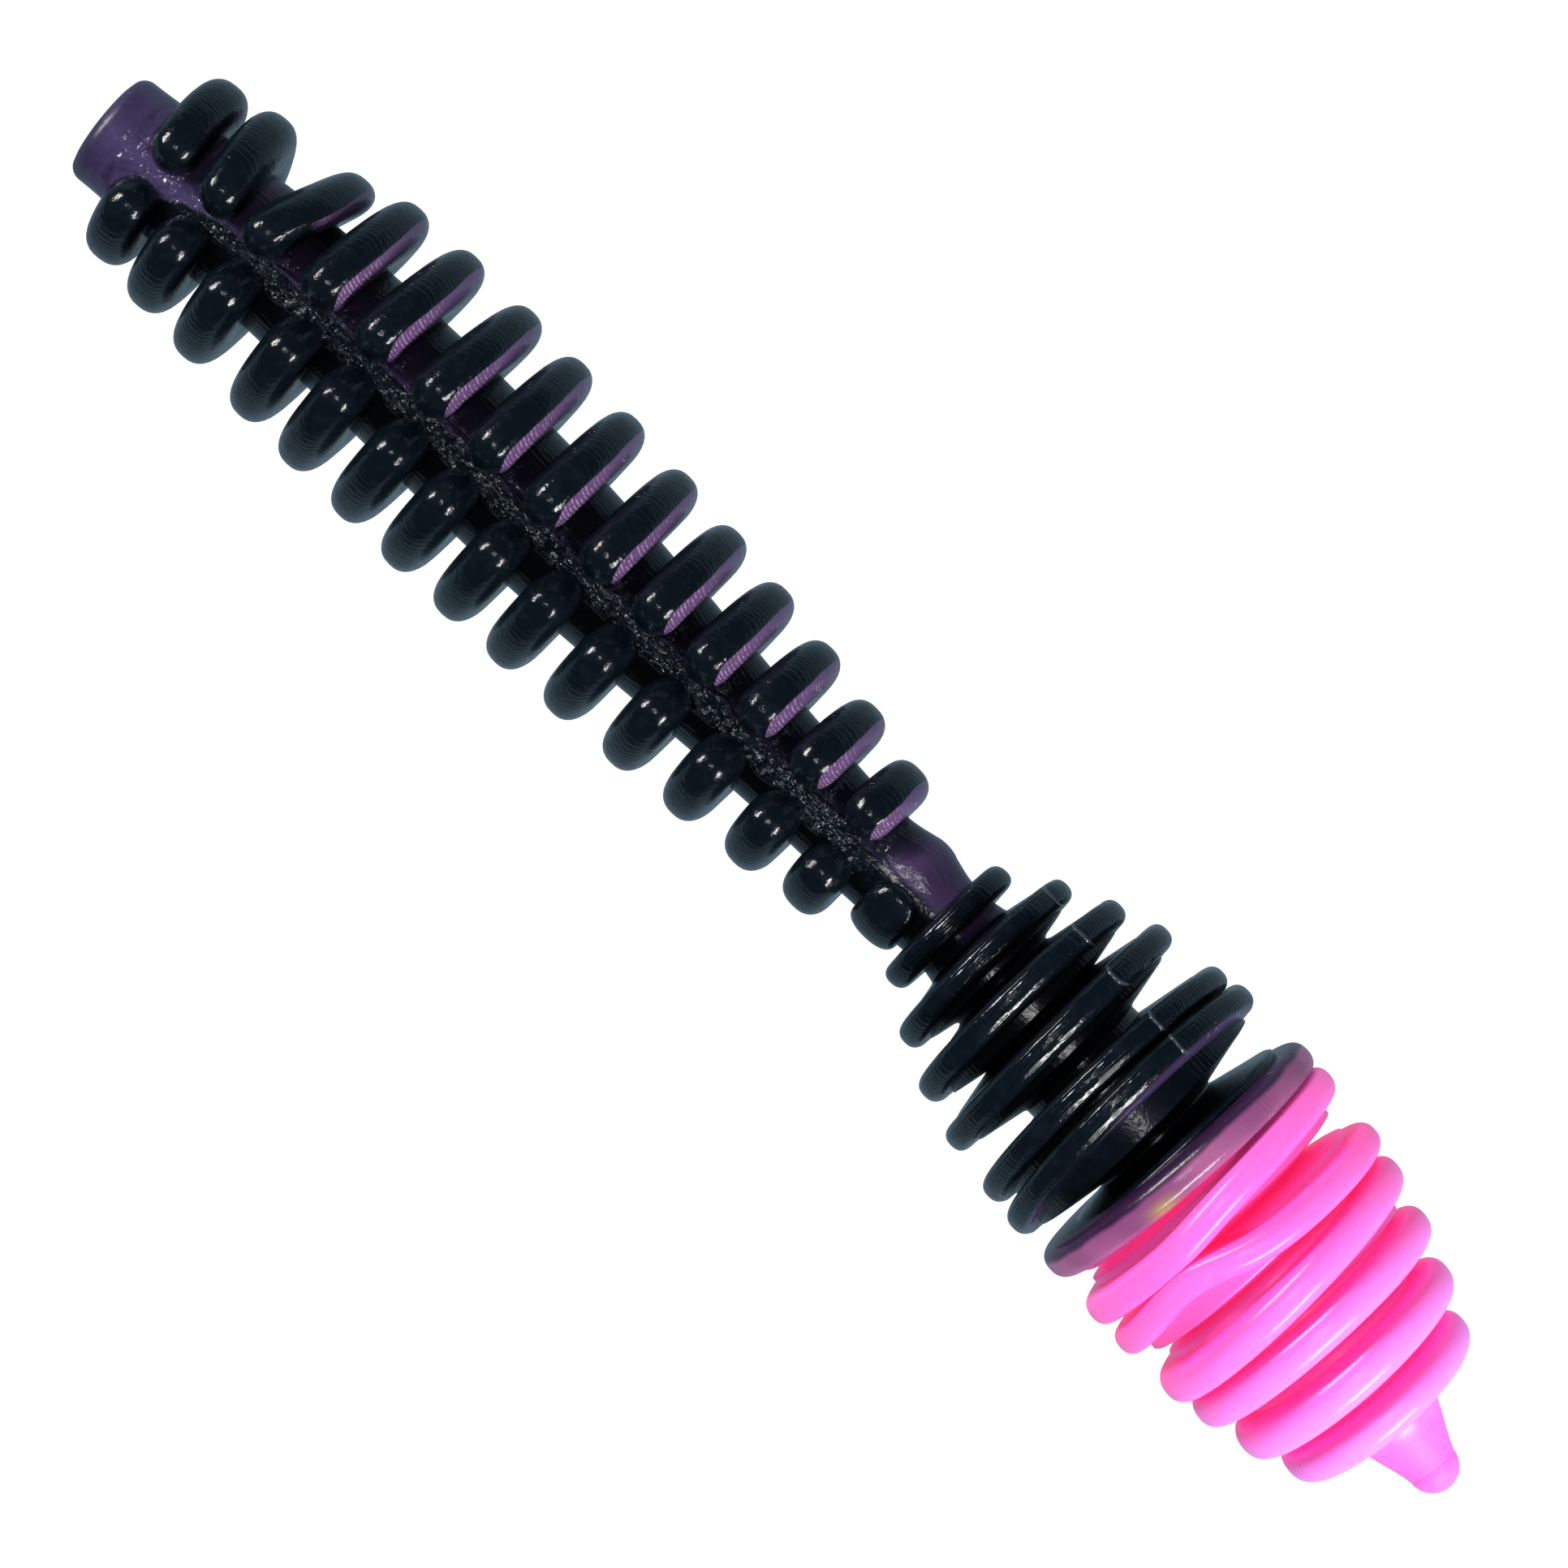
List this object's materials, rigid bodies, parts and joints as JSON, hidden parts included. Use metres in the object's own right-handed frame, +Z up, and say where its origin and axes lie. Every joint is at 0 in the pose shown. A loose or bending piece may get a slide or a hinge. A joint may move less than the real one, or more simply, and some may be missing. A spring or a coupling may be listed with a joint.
{
  "type": "soft plastic worm",
  "caption": "Soft plastic worm lure: ribbed black and purple body, thin neck and a ringed tail bulb with a bright pink end and a tapered nub.",
  "frame": {"origin": "centre of the flat nose face", "axes": "+X from the nose along the body to the tail nub, +Z up with the worm lying on its ribs, +Y to the side with the purple rib edges"},
  "size_m": [0.0651, 0.0115, 0.0114],
  "materials": {
    "black_plastic": "glossy, wet look",
    "purple_plastic": "glossy, wet look",
    "translucent_purple_plastic": "glossy, slightly see-through",
    "pink_plastic": "fluorescent, satin gloss"
  },
  "bodies": {
    "nose": {"nose_stub": "purple_plastic", "rib_pair_01": "black_plastic"},
    "rib_link_02": {"core_02": "black_plastic", "rib_pair_02": "black_plastic"},
    "rib_link_03": {"core_03": "black_plastic", "rib_pair_03": "black_plastic"},
    "rib_link_04": {"core_04": "black_plastic", "rib_pair_04": "black_plastic"},
    "rib_link_05": {"core_05": "black_plastic", "rib_pair_05": "black_plastic"},
    "rib_link_06": {"core_06": "black_plastic", "rib_pair_06": "black_plastic"},
    "rib_link_07": {"core_07": "black_plastic", "rib_pair_07": "black_plastic"},
    "rib_link_08": {"core_08": "black_plastic", "rib_pair_08": "black_plastic"},
    "rib_link_09": {"core_09": "black_plastic", "rib_pair_09": "black_plastic"},
    "rib_link_10": {"core_10": "black_plastic", "rib_pair_10": "black_plastic"},
    "rib_link_11": {"core_11": "black_plastic", "rib_pair_11": "black_plastic"},
    "rib_link_12": {"core_12": "black_plastic", "rib_pair_12": "black_plastic"},
    "rib_link_13": {"core_13": "black_plastic", "rib_pair_13": "black_plastic"},
    "rib_link_14": {"core_14": "black_plastic", "rib_pair_14": "black_plastic"},
    "neck": {"neck": "black_plastic", "neck_bump_left": "purple_plastic", "neck_bump_right": "black_plastic"},
    "bulb_front": {"bulb_spindle_front": "black_plastic", "black_disc_01": "black_plastic", "black_disc_02": "black_plastic"},
    "bulb_middle": {"bulb_spindle_middle": "black_plastic", "black_disc_03": "black_plastic", "black_disc_04": "black_plastic"},
    "bulb_rear": {"bulb_spindle_rear": "black_plastic", "black_disc_05": "black_plastic", "black_disc_06": "black_plastic"},
    "bulb_joint": {"bulb_spindle_joint": "pink_plastic", "black_disc_07": "translucent_purple_plastic", "pink_disc_01": "pink_plastic", "pink_disc_02": "pink_plastic", "pink_disc_03": "pink_plastic"},
    "bulb_pink": {"bulb_spindle_pink": "pink_plastic", "pink_disc_04": "pink_plastic", "pink_disc_05": "pink_plastic", "pink_disc_06": "pink_plastic"},
    "nub": {"tail_nub": "pink_plastic"}
  },
  "joints": [
    {"name": "front_side_bend", "type": "hinge", "parent": "nose", "child": "rib_link_02", "pos_m": [0.00383, 0.00043, 0], "axis": [0, 0, 1], "range_deg": [-8, 8], "stiffness_Nm_per_rad": 0.000665},
    {"name": "front_lift", "type": "hinge", "parent": "rib_link_02", "child": "rib_link_03", "pos_m": [0.00632, 0.00064, 0], "axis": [0.0842, -0.9965, 0], "range_deg": [-8, 8], "stiffness_Nm_per_rad": 0.000984},
    {"name": "front_side_bend_2", "type": "hinge", "parent": "rib_link_03", "child": "rib_link_04", "pos_m": [0.00881, 0.00079, 0], "axis": [0, 0, 1], "range_deg": [-8, 8], "stiffness_Nm_per_rad": 0.001106},
    {"name": "front_lift_2", "type": "hinge", "parent": "rib_link_04", "child": "rib_link_05", "pos_m": [0.01131, 0.0009, 0], "axis": [0.0418, -0.9991, 0], "range_deg": [-8, 8], "stiffness_Nm_per_rad": 0.001202},
    {"name": "front_side_bend_3", "type": "hinge", "parent": "rib_link_05", "child": "rib_link_06", "pos_m": [0.01381, 0.00095, 0], "axis": [0, 0, 1], "range_deg": [-8, 8], "stiffness_Nm_per_rad": 0.001267},
    {"name": "front_lift_3", "type": "hinge", "parent": "rib_link_06", "child": "rib_link_07", "pos_m": [0.01631, 0.00095, 0], "axis": [0, -1, 0], "range_deg": [-8, 8], "stiffness_Nm_per_rad": 0.001295},
    {"name": "rear_side_bend", "type": "hinge", "parent": "rib_link_07", "child": "rib_link_08", "pos_m": [0.01881, 0.00095, 0], "axis": [0, 0, 1], "range_deg": [-8, 8], "stiffness_Nm_per_rad": 0.001297},
    {"name": "rear_lift", "type": "hinge", "parent": "rib_link_08", "child": "rib_link_09", "pos_m": [0.02131, 0.00095, 0], "axis": [0, -1, 0], "range_deg": [-8, 8], "stiffness_Nm_per_rad": 0.001223},
    {"name": "rear_side_bend_2", "type": "hinge", "parent": "rib_link_09", "child": "rib_link_10", "pos_m": [0.02381, 0.00095, 0], "axis": [0, 0, 1], "range_deg": [-8, 8], "stiffness_Nm_per_rad": 0.001033},
    {"name": "rear_lift_2", "type": "hinge", "parent": "rib_link_10", "child": "rib_link_11", "pos_m": [0.02631, 0.00095, 0.00004], "axis": [0, -1, 0], "range_deg": [-8, 8], "stiffness_Nm_per_rad": 0.000804},
    {"name": "rear_side_bend_3", "type": "hinge", "parent": "rib_link_11", "child": "rib_link_12", "pos_m": [0.02881, 0.00095, 0.00015], "axis": [-0.0447, 0, 0.999], "range_deg": [-8, 8], "stiffness_Nm_per_rad": 0.000597},
    {"name": "rear_lift_3", "type": "hinge", "parent": "rib_link_12", "child": "rib_link_13", "pos_m": [0.0313, 0.00095, 0.00031], "axis": [0, -1, 0], "range_deg": [-8, 8], "stiffness_Nm_per_rad": 0.00044},
    {"name": "rear_side_bend_4", "type": "hinge", "parent": "rib_link_13", "child": "rib_link_14", "pos_m": [0.03379, 0.00095, 0.00051], "axis": [-0.0777, 0, 0.997], "range_deg": [-8, 8], "stiffness_Nm_per_rad": 0.000341},
    {"name": "neck_lift", "type": "hinge", "parent": "rib_link_14", "child": "neck", "pos_m": [0.03629, 0.00095, 0.00071], "axis": [0, -1, 0], "range_deg": [-14, 14], "stiffness_Nm_per_rad": 0.000301},
    {"name": "neck_side_bend", "type": "hinge", "parent": "neck", "child": "bulb_front", "pos_m": [0.03873, 0.00095, 0.0009], "axis": [-0.0771, 0, 0.997], "range_deg": [-12, 12], "stiffness_Nm_per_rad": 0.000249},
    {"name": "bulb_lift", "type": "hinge", "parent": "bulb_front", "child": "bulb_middle", "pos_m": [0.04221, 0.00095, 0.00111], "axis": [0, -1, 0], "range_deg": [-6, 6], "stiffness_Nm_per_rad": 0.000661},
    {"name": "bulb_side_bend", "type": "hinge", "parent": "bulb_middle", "child": "bulb_rear", "pos_m": [0.04579, 0.00095, 0.00121], "axis": [-0.0261, 0, 0.9997], "range_deg": [-6, 6], "stiffness_Nm_per_rad": 0.000943},
    {"name": "bulb_lift_2", "type": "hinge", "parent": "bulb_rear", "child": "bulb_joint", "pos_m": [0.04937, 0.00095, 0.00121], "axis": [0, -1, 0], "range_deg": [-6, 6], "stiffness_Nm_per_rad": 0.000628},
    {"name": "bulb_side_bend_2", "type": "hinge", "parent": "bulb_joint", "child": "bulb_pink", "pos_m": [0.05652, 0.00065, 0.00121], "axis": [0, 0, 1], "range_deg": [-4.5, 4.5], "stiffness_Nm_per_rad": 0.001102},
    {"name": "nub_flick", "type": "hinge", "parent": "bulb_pink", "child": "nub", "pos_m": [0.06204, 0.00013, 0.00121], "axis": [-0.0941, -0.9956, 0], "range_deg": [-15, 15], "stiffness_Nm_per_rad": 0.0006}
  ],
  "couplings": [
    {"joint": "front_side_bend_2", "follows": "front_side_bend", "ratio": 1},
    {"joint": "front_lift_2", "follows": "front_lift", "ratio": 1},
    {"joint": "front_side_bend_3", "follows": "front_side_bend", "ratio": 1},
    {"joint": "front_lift_3", "follows": "front_lift", "ratio": 1},
    {"joint": "rear_side_bend_2", "follows": "rear_side_bend", "ratio": 1},
    {"joint": "rear_lift_2", "follows": "rear_lift", "ratio": 1},
    {"joint": "rear_side_bend_3", "follows": "rear_side_bend", "ratio": 1},
    {"joint": "rear_lift_3", "follows": "rear_lift", "ratio": 1},
    {"joint": "rear_side_bend_4", "follows": "rear_side_bend", "ratio": 1},
    {"joint": "bulb_lift_2", "follows": "bulb_lift", "ratio": 1},
    {"joint": "bulb_side_bend_2", "follows": "bulb_side_bend", "ratio": 0.75}
  ]
}
